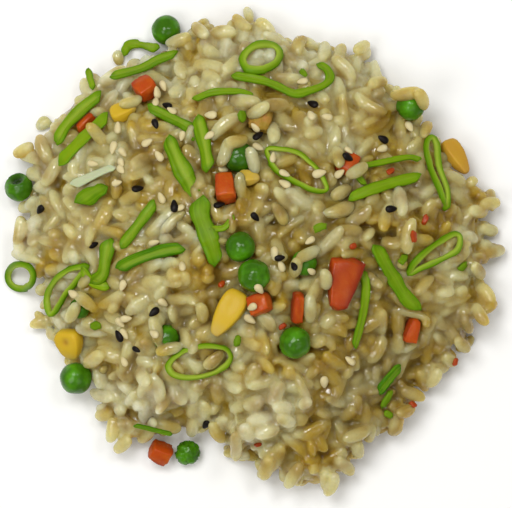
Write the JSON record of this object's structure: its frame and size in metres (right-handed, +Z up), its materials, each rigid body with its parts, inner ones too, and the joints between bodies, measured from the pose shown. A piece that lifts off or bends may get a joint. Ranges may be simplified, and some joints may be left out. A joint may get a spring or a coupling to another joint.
{
  "type": "heap of fried rice with vegetables",
  "caption": "Round loose heap of fried rice with an uneven edge, set with peas, sweetcorn, diced carrot, egg, sliced scallion and sesame seeds.",
  "frame": {"origin": "middle of the heap's box on its flat underside", "axes": "+Z up; +X to the right and +Y away, as the heap is seen from straight above"},
  "size_m": [0.1264, 0.1252, 0.0337],
  "materials": {
    "rice": "satin",
    "pea": "gloss",
    "sweetcorn": "gloss",
    "carrot": "gloss",
    "egg": "satin",
    "scallion": "gloss",
    "pale_sesame": "satin",
    "black_sesame": "satin"
  },
  "bodies": {
    "root": {"carrot_01": "carrot", "carrot_02": "carrot", "carrot_03": "carrot", "carrot_04": "carrot", "carrot_05": "carrot", "carrot_06": "carrot", "carrot_07": "carrot", "carrot_08": "carrot", "carrot_09": "carrot", "corn_01": "sweetcorn", "corn_02": "sweetcorn", "corn_03": "sweetcorn", "corn_04": "sweetcorn", "corn_05": "sweetcorn", "egg_01": "egg", "pea_01": "pea", "pea_02": "pea", "pea_03": "pea", "pea_04": "pea", "pea_05": "pea", "pea_06": "pea", "pea_07": "pea", "pea_08": "pea", "pea_09": "pea", "pea_10": "pea", "pea_11": "pea", "pea_12": "pea", "rice_heap": "rice", "scallion_01": "scallion", "scallion_02": "scallion", "scallion_03": "scallion", "scallion_04": "scallion", "scallion_05": "scallion", "scallion_06": "scallion", "scallion_07": "scallion", "scallion_08": "scallion", "scallion_09": "scallion", "scallion_10": "scallion", "scallion_11": "scallion", "scallion_12": "scallion", "scallion_13": "scallion", "scallion_14": "scallion", "scallion_15": "scallion", "scallion_16": "scallion", "scallion_17": "scallion", "scallion_20": "scallion", "scallion_21": "scallion", "scallion_22": "scallion", "scallion_23": "scallion", "scallion_24": "scallion", "scallion_25": "scallion", "scallion_26": "scallion", "scallion_27": "scallion", "scallion_28": "scallion", "scallion_29": "scallion", "scallion_30": "scallion", "scallion_31": "scallion"}
  },
  "joints": []
}
